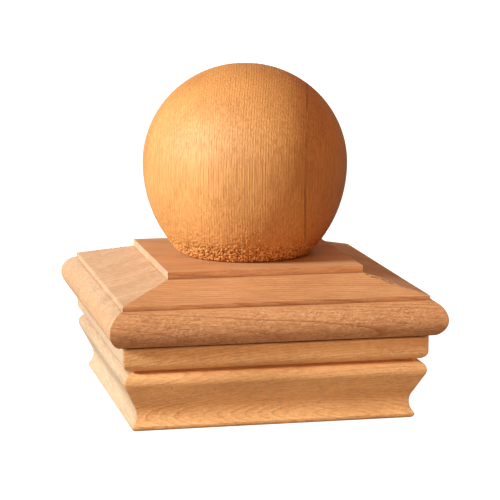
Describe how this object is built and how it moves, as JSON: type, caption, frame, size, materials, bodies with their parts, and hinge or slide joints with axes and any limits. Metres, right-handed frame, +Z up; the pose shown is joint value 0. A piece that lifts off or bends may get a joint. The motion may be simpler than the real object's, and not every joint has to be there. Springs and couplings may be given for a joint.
{
  "type": "fence post cap",
  "caption": "Square wooden fence post cap: turned ball finial on a bevelled block with a bull-nosed edge and a mitred moulded skirt.",
  "frame": {"origin": "middle of the post seat: the underside of the block, inside the skirt, where the post's end grain bears", "axes": "+Z up along the post and through the ball, front faces -Y, right side faces +X"},
  "size_m": [0.1428, 0.1428, 0.1456],
  "materials": {
    "ball_wood": "sanded, unfinished cedar",
    "block_wood": "sawn and routed, unfinished cedar",
    "moulding_wood": "planed, unfinished cedar",
    "screw_steel": "zinc plated",
    "nail_steel": "galvanised"
  },
  "bodies": {
    "root": {"ball_finial": "ball_wood", "finial_screw": "screw_steel", "cap_block": "block_wood", "front_moulding": "moulding_wood", "right_moulding": "moulding_wood", "back_moulding": "moulding_wood", "left_moulding": "moulding_wood", "corner_v_nails": "nail_steel", "skirt_brads": "nail_steel"}
  },
  "joints": []
}
